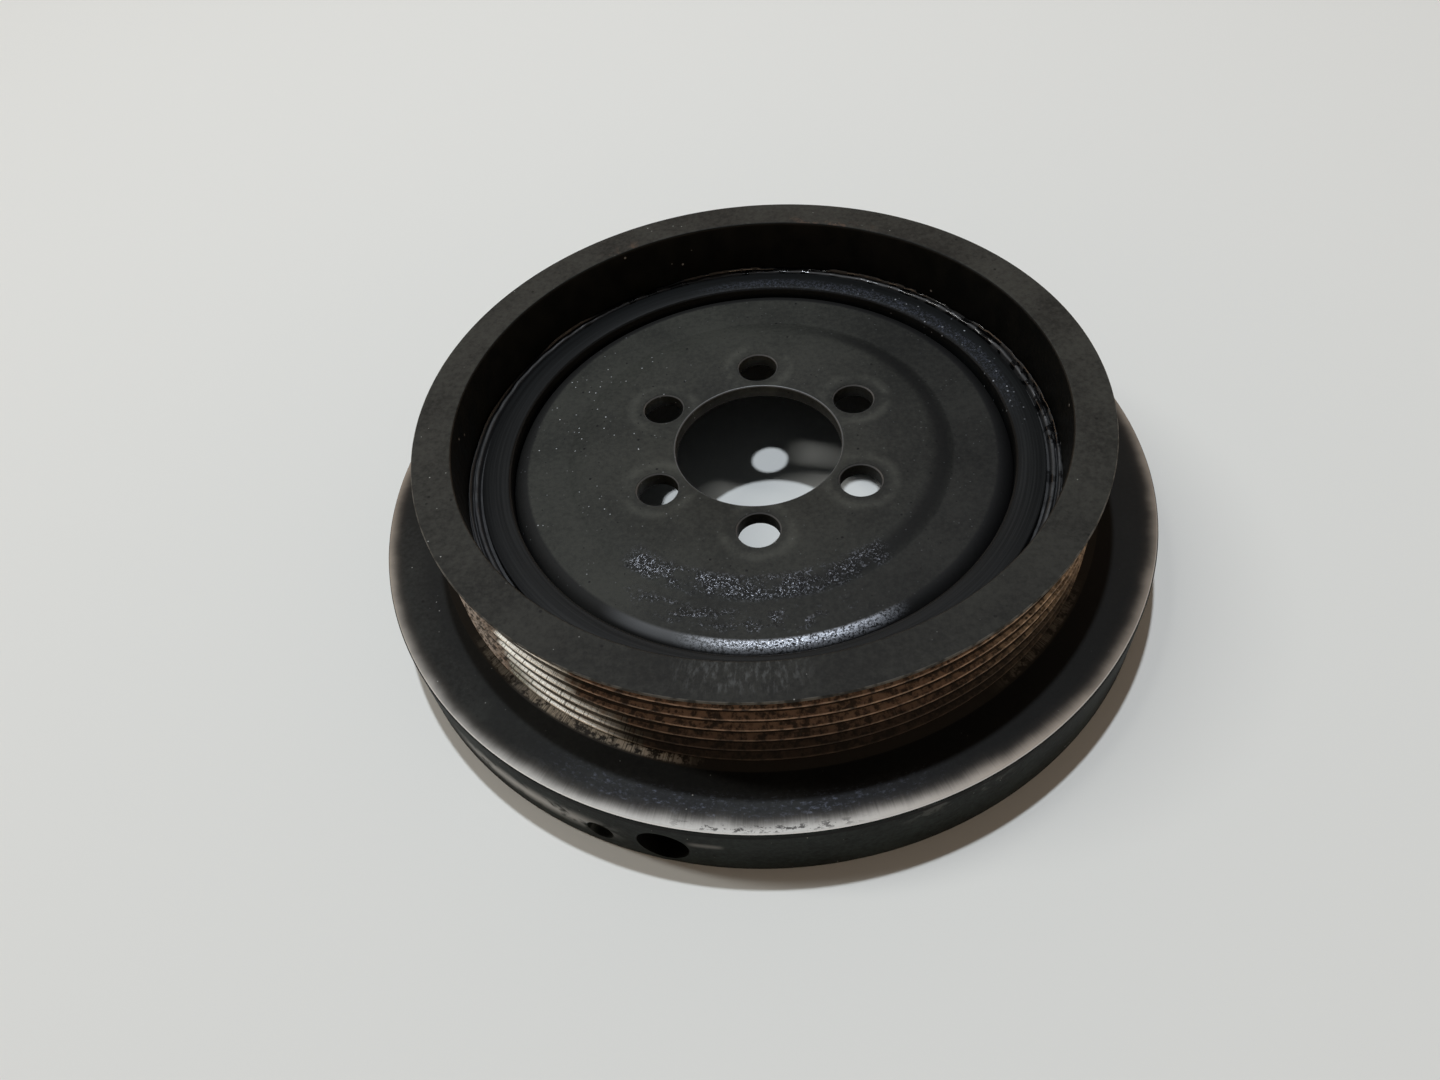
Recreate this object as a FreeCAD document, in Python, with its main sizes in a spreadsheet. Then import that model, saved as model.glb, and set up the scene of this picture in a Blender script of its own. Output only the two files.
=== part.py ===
import FreeCAD, Part
import os
import Sketcher

# Crankshaft pulley with a torsional vibration damper, lying on its rear face.
# Z is the pulley's axis, and z = 0 is the surface that the rear face lies on.
# Four pieces sit inside one another: the pressed hub plate, the hub ring around
# it, the rubber ring, and the iron pulley ring with the belt track.

DRIVING_SIZES = [
    # pulley ring: one iron casting, turned all over
    ("ring_dia", 168.0, "inertia ring, outside"),
    ("ring_height", 15.0, "inertia ring, along the axis"),
    ("ring_edge", 0.5, "chamfer on the inertia ring's front edge"),
    ("rim_dia", 143.0, "front lip of the belt track"),
    ("rim_edge", 0.3, "chamfer on the lip's outer edge"),
    ("track_wall", 3.95, "iron between the groove bottoms and the inner wall"),
    ("cavity_edge", 0.6, "chamfer at the mouth of the inner wall"),
    # belt track: ribs and grooves of the 3.56 mm standard
    ("crest_drop", 1.3, "rib tips, below the front lip"),
    ("groove_pitch", 3.56, "from groove to groove"),
    ("groove_count", 6, "grooves in the track"),
    ("groove_angle", 40.0, "angle between the flanks of a groove"),
    ("groove_depth", 2.95, "from rib tip to groove bottom"),
    ("crest_width", 0.5, "flat tip of a rib"),
    ("lip_width", 2.7, "from the front face to the first groove's centre"),
    ("shoulder_height", 0.87, "from the inertia ring's face to the last rib's foot"),
    ("shoulder_reach", 0.6, "foot of the sloping shoulder, outside the front lip"),
    ("relief_depth", 0.8, "narrow notch between the last rib and the shoulder"),
    # balance drillings in the inertia ring's wall
    ("deep_drill_dia", 10.0, "deep balance hole"),
    ("deep_drill_depth", 12.0, "deep balance hole, to its full width"),
    ("deep_drill_height", 6.5, "deep balance hole, above the rear face"),
    ("deep_drill_angle", -103.0, "deep balance hole, round the axis from +X"),
    ("spot_drill_dia", 5.5, "shallow balance hole"),
    ("spot_drill_depth", 1.5, "shallow balance hole, to its full width"),
    ("spot_drill_height", 5.3, "shallow balance hole, above the rear face"),
    ("spot_drill_angle", -111.6, "shallow balance hole, round the axis from +X"),
    ("drill_point_angle", 118.0, "point of both drills"),
    # rubber ring and hub ring, from the inner wall towards the axis
    ("front_recess", 12.4, "from the front face down to the hub"),
    ("rear_recess", 3.0, "from the rear face up to the hub ring"),
    ("rubber_thickness", 3.2, "rubber between the inner wall and the hub ring"),
    ("rubber_set_back", 0.3, "ends of the rubber, behind the hub ring's faces"),
    ("hub_ring_wall", 6.1, "hub ring between the rubber and the plate's skirt"),
    ("hub_ring_edge", 0.5, "chamfer on the inner edge of the hub ring's front face"),
    # hub plate: pressed from sheet steel
    ("sheet_thickness", 3.2, "sheet of the hub plate"),
    ("boss_top_dia", 74.0, "flat top of the raised middle"),
    ("boss_foot_dia", 83.0, "crease at the foot of the raised middle"),
    ("boss_rise", 1.0, "height of the raised middle"),
    ("bend_radius", 3.8, "outside of the bend into the skirt"),
    ("skirt_end", 5.0, "end of the skirt, above the rear face"),
    ("bore_dia", 36.0, "centre bore"),
    ("bore_edge", 0.4, "chamfer on the front edge of the centre bore"),
    ("bolt_hole_dia", 8.8, "clearance hole for an 8 mm bolt"),
    ("bolt_hole_land", 2.1, "sheet left between the centre bore and a bolt hole"),
    ("bolt_hole_count", 6, "bolt holes"),
]

# places worked out from the driving sizes, as expressions on the sheet
REAR_FACE = "0"
RING_FACE = "Sizes.ring_height"
LAST_RIB_FOOT = f"({RING_FACE} + Sizes.shoulder_height)"
LAST_GROOVE = f"({LAST_RIB_FOOT} + (Sizes.crest_width + Sizes.groove_pitch) / 2)"
TRACK_SPAN = "(Sizes.groove_pitch * (Sizes.groove_count - 1))"
FIRST_GROOVE = f"({LAST_GROOVE} + {TRACK_SPAN})"
RIM_FACE = f"({FIRST_GROOVE} + Sizes.lip_width)"
HUB_FACE = f"({RIM_FACE} - Sizes.front_recess)"
RING_RADIUS = "Sizes.ring_dia / 2"
RIM_RADIUS = "Sizes.rim_dia / 2"
CREST_RADIUS = f"({RIM_RADIUS} - Sizes.crest_drop)"
GROOVE_BOTTOM = f"({CREST_RADIUS} - Sizes.groove_depth)"
CAVITY_RADIUS = f"({GROOVE_BOTTOM} - Sizes.track_wall)"
HUB_RING_RADIUS = f"({CAVITY_RADIUS} - Sizes.rubber_thickness)"
SKIRT_RADIUS = f"({HUB_RING_RADIUS} - Sizes.hub_ring_wall)"
BORE_RADIUS = "Sizes.bore_dia / 2"
BOLT_HOLE_RADIUS = "Sizes.bolt_hole_dia / 2"
BOLT_CIRCLE = f"({BORE_RADIUS} + Sizes.bolt_hole_land + {BOLT_HOLE_RADIUS})"
FLANK_SLOPE = "tan(Sizes.groove_angle / 2)"

# how far a cutting profile runs past the surface that it cuts
OVERRUN = 1.0
# the bend is drawn as this many short flats, which keeps the turned facets few
BEND_FLATS = 3
QUARTER_TURN = 90


def make_sheet(doc):
    """Write the driving sizes to the spreadsheet, one row each, with an alias."""
    sheet = doc.addObject("Spreadsheet::Sheet", "Sizes")
    for row, (alias, size, note) in enumerate(DRIVING_SIZES, start=1):
        sheet.set(f"A{row}", alias)
        sheet.set(f"B{row}", str(size))
        sheet.setAlias(f"B{row}", alias)
        sheet.set(f"C{row}", note)
    doc.recompute()
    return sheet


def make_body(doc, label):
    """An empty body with the label of its piece."""
    body = doc.addObject("PartDesign::Body", label)
    body.Label = label
    return body


def sketch_on(body, name, role):
    """A sketch on one of the body's own planes."""
    plane = next(f for f in body.Origin.OriginFeatures if f.Role == role)
    sketch = body.newObject("Sketcher::SketchObject", name)
    sketch.AttachmentSupport = [(plane, "")]
    sketch.MapMode = "FlatFace"
    return sketch


def section_sketch(body, name, azimuth=None):
    """A sketch on a plane through the axis: across is radius, and up is z."""
    sketch = sketch_on(body, name, "XZ_Plane")
    if azimuth is not None:
        sketch.setExpression("AttachmentOffset.Rotation.Axis.x", "0")
        sketch.setExpression("AttachmentOffset.Rotation.Axis.y", "1")
        sketch.setExpression("AttachmentOffset.Rotation.Axis.z", "0")
        sketch.setExpression("AttachmentOffset.Rotation.Angle", azimuth)
    return sketch


def number(sketch, expression):
    """The present value of an expression on the sheet."""
    found = sketch.evalExpression(expression)
    return float(getattr(found, "Value", found))


def fix_point(sketch, edge, end, across, up):
    """Tie one end of an edge, or a circle's centre, to its place on the sheet."""
    for kind, place, axis in (("DistanceX", across, -2), ("DistanceY", up, -1)):
        if place == "0":
            sketch.addConstraint(Sketcher.Constraint("PointOnObject", edge, end, axis))
            continue
        size = number(sketch, place)
        index = sketch.addConstraint(Sketcher.Constraint(kind, -1, 1, edge, end, size))
        sketch.setExpression(f"Constraints[{index}]", place)


def straight_line(sketch, start, finish, construction=False):
    """Add a line between two places (across, up) that are given as expressions."""
    ends = [FreeCAD.Vector(number(sketch, p[0]), number(sketch, p[1]), 0)
            for p in (start, finish)]
    return sketch.addGeometry(Part.LineSegment(*ends), construction)


def closed_outline(sketch, corners):
    """Join corners (across, up) in a ring of straight lines, each corner tied."""
    following = corners[1:] + corners[:1]
    lines = [straight_line(sketch, *pair) for pair in zip(corners, following)]
    for line, next_line in zip(lines, lines[1:] + lines[:1]):
        sketch.addConstraint(Sketcher.Constraint("Coincident", line, 2, next_line, 1))
    for line, corner in zip(lines, corners):
        fix_point(sketch, line, 1, *corner)


def own_axis(sketch, start, finish):
    """Add a construction line that a cut turns about."""
    line = straight_line(sketch, start, finish, construction=True)
    fix_point(sketch, line, 1, *start)
    fix_point(sketch, line, 2, *finish)


def turned(body, name, sketch):
    """Turn an outline about the pulley's axis into a solid."""
    feature = body.newObject("PartDesign::Revolution", name)
    feature.Profile = sketch
    feature.ReferenceAxis = (sketch, ["V_Axis"])
    feature.Angle = 360
    return feature


def turned_cut(body, name, sketch, axis="V_Axis"):
    """Cut what an outline sweeps about the pulley's axis or the sketch's own line."""
    feature = body.newObject("PartDesign::Groove", name)
    feature.Profile = sketch
    feature.ReferenceAxis = (sketch, [axis])
    feature.Angle = 360
    return feature


def blank_outline():
    """Section of the pulley ring before the belt grooves and balance holes."""
    notch = f"{CREST_RADIUS} - Sizes.relief_depth"
    notch_bottom = f"{LAST_RIB_FOOT} - Sizes.relief_depth * {FLANK_SLOPE}"
    return [
        (CAVITY_RADIUS, REAR_FACE),
        (RING_RADIUS, REAR_FACE),
        (RING_RADIUS, f"{RING_FACE} - Sizes.ring_edge"),
        (f"{RING_RADIUS} - Sizes.ring_edge", RING_FACE),
        (f"{RIM_RADIUS} + Sizes.shoulder_reach", RING_FACE),
        (notch, notch_bottom),
        (CREST_RADIUS, LAST_RIB_FOOT),
        (CREST_RADIUS, FIRST_GROOVE),
        (RIM_RADIUS, FIRST_GROOVE),
        (RIM_RADIUS, f"{RIM_FACE} - Sizes.rim_edge"),
        (f"{RIM_RADIUS} - Sizes.rim_edge", RIM_FACE),
        (f"{CAVITY_RADIUS} + Sizes.cavity_edge", RIM_FACE),
        (CAVITY_RADIUS, f"{RIM_FACE} - Sizes.cavity_edge"),
    ]


def groove_outline():
    """Section of the first belt groove, run out past the front lip."""
    outside = f"{RIM_RADIUS} + {OVERRUN}"
    half_mouth = "(Sizes.groove_pitch - Sizes.crest_width) / 2"
    half_bottom = f"({half_mouth} - Sizes.groove_depth * {FLANK_SLOPE})"
    half_outside = f"({half_mouth} + ({outside} - {CREST_RADIUS}) * {FLANK_SLOPE})"
    return [
        (GROOVE_BOTTOM, f"{FIRST_GROOVE} - {half_bottom}"),
        (outside, f"{FIRST_GROOVE} - {half_outside}"),
        (outside, f"{FIRST_GROOVE} + {half_outside}"),
        (GROOVE_BOTTOM, f"{FIRST_GROOVE} + {half_bottom}"),
    ]


def belt_grooves(body):
    """Cut the first belt groove under the lip and repeat it towards the rear."""
    sketch = section_sketch(body, "GrooveSection")
    closed_outline(sketch, groove_outline())
    groove = turned_cut(body, "FirstGroove", sketch)
    pattern = body.newObject("PartDesign::LinearPattern", "BeltGrooves")
    pattern.Originals = [groove]
    pattern.Direction = (sketch, ["V_Axis"])
    pattern.Reversed = True
    pattern.setExpression("Length", TRACK_SPAN)
    pattern.setExpression("Occurrences", "Sizes.groove_count")
    body.Tip = pattern


def balance_hole(body, drill):
    """Drill a pointed radial hole into the inertia ring's wall."""
    mouth = f"{RING_RADIUS} + {OVERRUN}"
    floor = f"{RING_RADIUS} - Sizes.{drill}_depth"
    radius = f"Sizes.{drill}_dia / 2"
    point = f"{floor} - {radius} / tan(Sizes.drill_point_angle / 2)"
    height = f"Sizes.{drill}_height"
    sketch = section_sketch(body, f"{drill}_section", azimuth=f"Sizes.{drill}_angle")
    closed_outline(sketch, [
        (point, height),
        (mouth, height),
        (mouth, f"{height} + {radius}"),
        (floor, f"{height} + {radius}"),
    ])
    own_axis(sketch, (point, height), (mouth, height))
    body.Tip = turned_cut(body, f"{drill}_hole", sketch, axis="Axis0")


def pulley_ring(doc):
    """Belt track and inertia ring, one casting, with its balance holes."""
    body = make_body(doc, "pulley_ring")
    sketch = section_sketch(body, "RingSection")
    closed_outline(sketch, blank_outline())
    turned(body, "RingBlank", sketch)
    belt_grooves(body)
    balance_hole(body, "deep_drill")
    balance_hole(body, "spot_drill")
    return body


def rubber_ring(doc):
    """Rubber between the hub ring and the pulley ring."""
    body = make_body(doc, "rubber_ring")
    rear = "(Sizes.rear_recess + Sizes.rubber_set_back)"
    front = f"({HUB_FACE} - Sizes.rubber_set_back)"
    sketch = section_sketch(body, "RubberSection")
    closed_outline(sketch, [
        (HUB_RING_RADIUS, rear),
        (CAVITY_RADIUS, rear),
        (CAVITY_RADIUS, front),
        (HUB_RING_RADIUS, front),
    ])
    turned(body, "RubberTurned", sketch)
    return body


def hub_ring(doc):
    """Turned steel ring pressed over the hub plate's skirt."""
    body = make_body(doc, "hub_ring")
    sketch = section_sketch(body, "HubRingSection")
    closed_outline(sketch, [
        (SKIRT_RADIUS, "Sizes.rear_recess"),
        (HUB_RING_RADIUS, "Sizes.rear_recess"),
        (HUB_RING_RADIUS, HUB_FACE),
        (f"{SKIRT_RADIUS} + Sizes.hub_ring_edge", HUB_FACE),
        (SKIRT_RADIUS, f"{HUB_FACE} - Sizes.hub_ring_edge"),
    ])
    turned(body, "HubRingTurned", sketch)
    return body


def bend_outline(across, up):
    """Corners of the bend about its centre, from the plate's flat to its skirt."""
    turns = [QUARTER_TURN * n / BEND_FLATS for n in range(BEND_FLATS + 1)]
    return [(f"{across} + Sizes.bend_radius * sin({turn})",
             f"{up} + Sizes.bend_radius * cos({turn})") for turn in turns]


def plate_outline():
    """Section of the pressed hub plate: raised middle, crease, flat, bend, skirt."""
    boss_top, boss_foot = "Sizes.boss_top_dia / 2", "Sizes.boss_foot_dia / 2"
    flat = f"({HUB_FACE} - Sizes.boss_rise)"
    rear_of_flat = f"{flat} - Sizes.sheet_thickness"
    rear_of_boss = f"{HUB_FACE} - Sizes.sheet_thickness"
    inside_skirt = f"{SKIRT_RADIUS} - Sizes.sheet_thickness"
    return [
        (f"{BORE_RADIUS} + Sizes.bore_edge", HUB_FACE),
        (boss_top, HUB_FACE),
        (boss_foot, flat),
        *bend_outline(f"{SKIRT_RADIUS} - Sizes.bend_radius", f"{flat} - Sizes.bend_radius"),
        (SKIRT_RADIUS, "Sizes.skirt_end"),
        (inside_skirt, "Sizes.skirt_end"),
        (inside_skirt, rear_of_flat),
        (boss_foot, rear_of_flat),
        (boss_top, rear_of_boss),
        (BORE_RADIUS, rear_of_boss),
        (BORE_RADIUS, f"{HUB_FACE} - Sizes.bore_edge"),
    ]


def bolt_holes(body):
    """Punch one bolt hole on +Y and repeat it round the centre bore."""
    sketch = sketch_on(body, "BoltHoleCircle", "XY_Plane")
    centre = FreeCAD.Vector(0, number(sketch, BOLT_CIRCLE), 0)
    radius = number(sketch, BOLT_HOLE_RADIUS)
    circle = sketch.addGeometry(Part.Circle(centre, FreeCAD.Vector(0, 0, 1), radius))
    fix_point(sketch, circle, 3, "0", BOLT_CIRCLE)
    index = sketch.addConstraint(Sketcher.Constraint("Radius", circle, radius))
    sketch.setExpression(f"Constraints[{index}]", BOLT_HOLE_RADIUS)
    hole = body.newObject("PartDesign::Pocket", "BoltHole")
    hole.Profile = sketch
    hole.Type = "ThroughAll"
    hole.Reversed = True
    pattern = body.newObject("PartDesign::PolarPattern", "BoltHoles")
    pattern.Originals = [hole]
    pattern.Axis = (sketch, ["N_Axis"])
    pattern.Angle = 360
    pattern.setExpression("Occurrences", "Sizes.bolt_hole_count")
    body.Tip = pattern


def hub_plate(doc):
    """Pressed steel plate with the centre bore, the bolt holes and a skirt."""
    body = make_body(doc, "hub_plate")
    sketch = section_sketch(body, "PlateSection")
    closed_outline(sketch, plate_outline())
    turned(body, "PlatePressed", sketch)
    bolt_holes(body)
    return body


def check(doc, pieces):
    """Stop if any feature failed, or a piece isn't one sound solid."""
    failed = [o.Name for o in doc.Objects if {"Invalid", "Error"} & set(o.State)]
    if failed:
        raise RuntimeError(f"failed features: {failed}")
    for piece in pieces:
        shape = piece.Shape
        if shape.isNull() or not shape.isValid() or len(shape.Solids) != 1:
            raise RuntimeError(f"{piece.Label} is not one valid solid")


def main():
    """Build the pieces, check them and write one STEP file for each."""
    doc = FreeCAD.newDocument("crank_pulley")
    make_sheet(doc)
    pieces = [make(doc) for make in (hub_plate, hub_ring, rubber_ring, pulley_ring)]
    doc.recompute()
    check(doc, pieces)
    os.makedirs("parts", exist_ok=True)
    for piece in pieces:
        piece.Shape.exportStep(f"parts/{piece.Label}.step")
        print(piece.Label, round(piece.Shape.Volume, 1), piece.Shape.BoundBox)


main()
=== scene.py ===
import bpy
import bmesh
import math
from mathutils import Matrix, Vector, noise


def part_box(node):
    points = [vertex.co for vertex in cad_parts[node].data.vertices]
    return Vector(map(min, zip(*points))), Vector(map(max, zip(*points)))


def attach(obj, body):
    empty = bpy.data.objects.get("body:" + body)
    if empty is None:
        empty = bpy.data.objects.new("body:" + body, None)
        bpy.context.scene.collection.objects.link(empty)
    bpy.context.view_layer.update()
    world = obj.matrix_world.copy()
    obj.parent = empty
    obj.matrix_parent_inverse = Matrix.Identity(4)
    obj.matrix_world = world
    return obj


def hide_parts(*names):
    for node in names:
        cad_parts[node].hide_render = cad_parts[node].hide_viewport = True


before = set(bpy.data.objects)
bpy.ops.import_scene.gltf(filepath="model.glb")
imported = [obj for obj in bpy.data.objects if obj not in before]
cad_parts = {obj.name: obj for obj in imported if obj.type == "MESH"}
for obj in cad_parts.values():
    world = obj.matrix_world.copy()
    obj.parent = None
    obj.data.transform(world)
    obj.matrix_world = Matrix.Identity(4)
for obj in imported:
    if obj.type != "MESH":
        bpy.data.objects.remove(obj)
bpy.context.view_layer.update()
MM = 0.001

# The hub plate. It is pressed from 3.2 mm sheet steel: a slightly raised middle with
# a centre bore and six bolt holes, a crease, a flat, and a round bend into a skirt.
# It is dipped in satin black paint, and is now oily, dusty and specked.


def span(node):
    """A round node's radius, lowest height and highest height, in millimetres."""
    low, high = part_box(node)
    return tuple(round(size / MM, 2) for size in (high.x, low.z, high.z))


FULL_TURN = 2 * math.pi
TURN_STEPS = 360
CUTTER_STEPS = 48
SMALL_ROUND_STEPS = 3
LARGE_ROUND_STEPS = 10
LARGE_ROUND = 1.0
SHARP_ANGLE = 28
SKIRT_RADIUS, SKIRT_END, HUB_FACE = span("hub_plate")
BOSS_RISE = 1.0
PLATE_FLAT = HUB_FACE - BOSS_RISE
SHEET = 3.2
BEND_RADIUS = 3.8
BEND_FROM = SKIRT_RADIUS - BEND_RADIUS
BOSS_SLOPE_FROM = 38.2
BOSS_FOOT = 41.5
BOSS_BLEND = 3.1
BORE_RADIUS = 18.0
BOLT_CIRCLE_RADIUS = 24.5
BOLT_HOLE_RADIUS = 4.4
BOLT_HOLES = 6
HOLE_BEVEL = 0.3
PUNCH_CLEAR = 1.0
WASHER_MARK = (6.2, 8.0)


def outline(corners):
    """A flat face on the X-Z plane from corners (radius, height, rounding), in
    millimetres, with each corner rounded off."""
    mesh = bmesh.new()
    verts = [mesh.verts.new((r * MM, 0, z * MM)) for r, z, _ in corners]
    mesh.faces.new(verts)
    for size in sorted({c[2] for c in corners if c[2]}):
        same = [v for v, c in zip(verts, corners) if c[2] == size]
        steps = SMALL_ROUND_STEPS if size < LARGE_ROUND else LARGE_ROUND_STEPS
        bmesh.ops.bevel(mesh, geom=same, offset=size * MM, segments=steps,
                        profile=0.5, affect="VERTICES", material=-1)
    bmesh.ops.delete(mesh, geom=list(mesh.faces), context="FACES_ONLY")
    return mesh


def spun(mesh, steps=TURN_STEPS):
    """Turn an outline right round the axis into a closed solid."""
    bmesh.ops.spin(mesh, geom=mesh.verts[:] + mesh.edges[:], cent=(0, 0, 0), axis=(0, 0, 1),
                   angle=FULL_TURN, steps=steps, use_merge=True)
    bmesh.ops.remove_doubles(mesh, verts=mesh.verts, dist=1e-6)
    bmesh.ops.recalc_face_normals(mesh, faces=mesh.faces)
    return mesh


def shaded(data, sharp=SHARP_ANGLE):
    """Shade a mesh smooth, with its real edges kept sharp."""
    data.shade_smooth()
    data.set_sharp_from_angle(angle=math.radians(sharp))


def finished(mesh, name, *finishes):
    """Make an object from a bmesh, with its finishes in order."""
    data = bpy.data.meshes.new(name)
    mesh.to_mesh(data)
    mesh.free()
    for finish in finishes:
        data.materials.append(finish.material)
    shaded(data)
    piece = bpy.data.objects.new(name, data)
    bpy.context.scene.collection.objects.link(piece)
    return piece


def verts_of(geometry):
    """Only the verts of a list of verts, edges and faces."""
    return [part for part in geometry if isinstance(part, bmesh.types.BMVert)]


def tool(corners, places, finish=0):
    """Closed cutters, one at each place, turned from corners (radius, height)."""
    mesh = bmesh.new()
    verts = [mesh.verts.new((r * MM, 0, z * MM)) for r, z in corners]
    for pair in zip(verts, verts[1:]):
        mesh.edges.new(pair)
    spun(mesh, CUTTER_STEPS)
    for face in mesh.faces:
        face.material_index = finish
    one = list(mesh.verts) + list(mesh.edges) + list(mesh.faces)
    for place in places[1:]:
        copy = bmesh.ops.duplicate(mesh, geom=one)["geom"]
        bmesh.ops.transform(mesh, matrix=place, verts=verts_of(copy))
    bmesh.ops.transform(mesh, matrix=places[0], verts=verts_of(one))
    data = bpy.data.meshes.new("cutter")
    mesh.to_mesh(data)
    mesh.free()
    cutter = bpy.data.objects.new("cutter", data)
    bpy.context.scene.collection.objects.link(cutter)
    return cutter


def drilled(piece, cutter, sharp=SHARP_ANGLE):
    """Cut the holes, and keep the result as the piece's own mesh."""
    cut = piece.modifiers.new("holes", "BOOLEAN")
    cut.object = cutter
    cut.operation = "DIFFERENCE"
    cut.solver = "EXACT"
    graph = bpy.context.evaluated_depsgraph_get()
    data = bpy.data.meshes.new_from_object(piece.evaluated_get(graph), depsgraph=graph)
    piece.modifiers.clear()
    piece.data = data
    shaded(data, sharp)
    bpy.data.objects.remove(cutter)


class Finish:
    """One surface finish, worked up from patterns that follow the turned piece."""

    def __init__(self, name, roughness=0.5, metallic=0.0, shine=0.5):
        self.material = bpy.data.materials.new(name)
        self.material.use_nodes = True
        self.tree = self.material.node_tree
        self.shader = self.tree.nodes["Principled BSDF"]
        self.shader.inputs["Roughness"].default_value = roughness
        self.shader.inputs["Metallic"].default_value = metallic
        self.shader.inputs["Specular IOR Level"].default_value = shine
        self.place = self.add("TexCoord").outputs["Object"]
        self.x, self.y, self.height = self.add("SeparateXYZ", self.place).outputs
        across = self.add("CombineXYZ", self.x, self.y, 0.0).outputs[0]
        self.radius = self.add("VectorMath", across, operation="LENGTH").outputs["Value"]
        self.around = self.add("VectorMath", across, operation="NORMALIZE").outputs[0]

    def add(self, kind, *values, **settings):
        """A node of this kind, fed in the order of its sockets."""
        node = self.tree.nodes.new("ShaderNode" + kind)
        for key, setting in settings.items():
            setattr(node, key, setting)
        for socket, value in zip(node.inputs, values):
            self.feed(socket, value)
        return node

    def feed(self, socket, value):
        """Link a socket to another, or set its value."""
        if isinstance(value, bpy.types.NodeSocket):
            self.tree.links.new(value, socket)
        else:
            socket.default_value = value

    def calc(self, operation, *values):
        """Arithmetic on numbers that vary over the surface."""
        return self.add("Math", *values, operation=operation).outputs[0]

    def chain(self, operation, values):
        """One operation on several numbers in turn."""
        result = values[0]
        for value in values[1:]:
            result = self.calc(operation, result, value)
        return result

    def times(self, *values):
        """Several shares multiplied together."""
        return self.chain("MULTIPLY", values)

    def plus(self, *values):
        """Several numbers added up."""
        return self.chain("ADD", values)

    def most(self, *values):
        """The largest of several shares."""
        return self.chain("MAXIMUM", values)

    def fade(self, value, low, high, first=0.0, last=1.0):
        """Go smoothly from first to last as value goes from low to high."""
        if low > high:
            low, high, first, last = high, low, last, first
        node = self.add("MapRange", interpolation_type="SMOOTHSTEP")
        for key, number in (("Value", value), ("From Min", low), ("From Max", high),
                            ("To Min", first), ("To Max", last)):
            self.feed(node.inputs[key], number)
        return node.outputs[0]

    def length_fade(self, value, low, high, first=0.0, last=1.0):
        """fade() from one length to another, in millimetres."""
        return self.fade(value, low * MM, high * MM, first, last)

    def outward(self, low, high, first=0.0, last=1.0):
        """fade() from one radius to another, in millimetres."""
        return self.length_fade(self.radius, low, high, first, last)

    def upward(self, low, high):
        """fade() from one height to another, in millimetres."""
        return self.length_fade(self.height, low, high)

    def between(self, value, low, high, soft):
        """1 between two lengths in millimetres, and 0 outside, with soft edges."""
        return self.times(self.length_fade(value, low - soft, low + soft),
                          self.length_fade(value, high + soft, high - soft))

    def ring(self, low, high, soft):
        """between() for the radius."""
        return self.between(self.radius, low, high, soft)

    def belt(self, low, high, soft):
        """between() for the height."""
        return self.between(self.height, low, high, soft)

    def grain(self, scale, detail=2.0, rough=0.5, place=None):
        """Even noise from 0 to 1, with scale in patches to the metre."""
        node = self.add("TexNoise")
        for key, value in (("Vector", place or self.place), ("Scale", scale),
                           ("Detail", detail), ("Roughness", rough)):
            self.feed(node.inputs[key], value)
        return node.outputs["Fac"]

    def stretched(self, detail, rough, round_axis, by_radius, by_height):
        """Noise that is as fine round the axis, outward and upward as these say."""
        wheel = self.add("VectorMath", self.around, operation="SCALE")
        self.feed(wheel.inputs["Scale"], round_axis)
        x, y, _ = self.add("SeparateXYZ", wheel.outputs[0]).outputs
        depth = self.plus(self.times(self.radius, by_radius),
                          self.times(self.height, by_height))
        place = self.add("CombineXYZ", x, y, depth).outputs[0]
        return self.grain(1.0, detail, rough, place)

    def facing(self, angle, width, soft):
        """1 within width degrees of an angle round the axis, fading over soft."""
        turn = math.radians(angle)
        node = self.add("VectorMath", self.around, (math.cos(turn), math.sin(turn), 0.0),
                        operation="DOT_PRODUCT")
        return self.fade(node.outputs["Value"], math.cos(math.radians(width + soft)),
                         math.cos(math.radians(max(width - soft, 0.0))))

    def specks(self, scale, size, share, shift=0.0):
        """Sparse round specks: one to a cell, and only in some of the cells."""
        moved = self.add("VectorMath", self.place, (shift, shift, shift),
                         operation="ADD").outputs[0]
        node = self.add("TexVoronoi")
        self.feed(node.inputs["Vector"], moved)
        self.feed(node.inputs["Scale"], scale)
        chosen = self.add("SeparateColor", node.outputs["Color"]).outputs[0]
        return self.times(self.fade(node.outputs["Distance"], size, size * 0.5),
                          self.fade(chosen, 1.0 - share, 1.01 - share))

    def mix(self, share, first, second):
        """Blend two colours or two shares, by a share."""
        node = self.add("Mix", data_type="RGBA")
        for index, value in ((0, share), (6, first), (7, second)):
            self.feed(node.inputs[index], value)
        return node.outputs[2]

    def wear(self, colour, roughness, relief, depth, metallic=0.0):
        """Feed the shader's sockets. The relief is depth millimetres deep."""
        bump = self.add("Bump")
        self.feed(bump.inputs["Height"], relief)
        self.feed(bump.inputs["Strength"], 1.0)
        self.feed(bump.inputs["Distance"], depth * MM)
        for key, value in (("Base Color", colour), ("Roughness", roughness),
                           ("Metallic", metallic), ("Normal", bump.outputs[0])):
            self.feed(self.shader.inputs[key], value)
        return self


def rgb(red, green, blue):
    """An opaque colour from screen values, 0 to 255."""
    def light(value):
        share = value / 255
        return share / 12.92 if share <= 0.04045 else ((share + 0.055) / 1.055) ** 2.4
    return (light(red), light(green), light(blue), 1.0)


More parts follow.
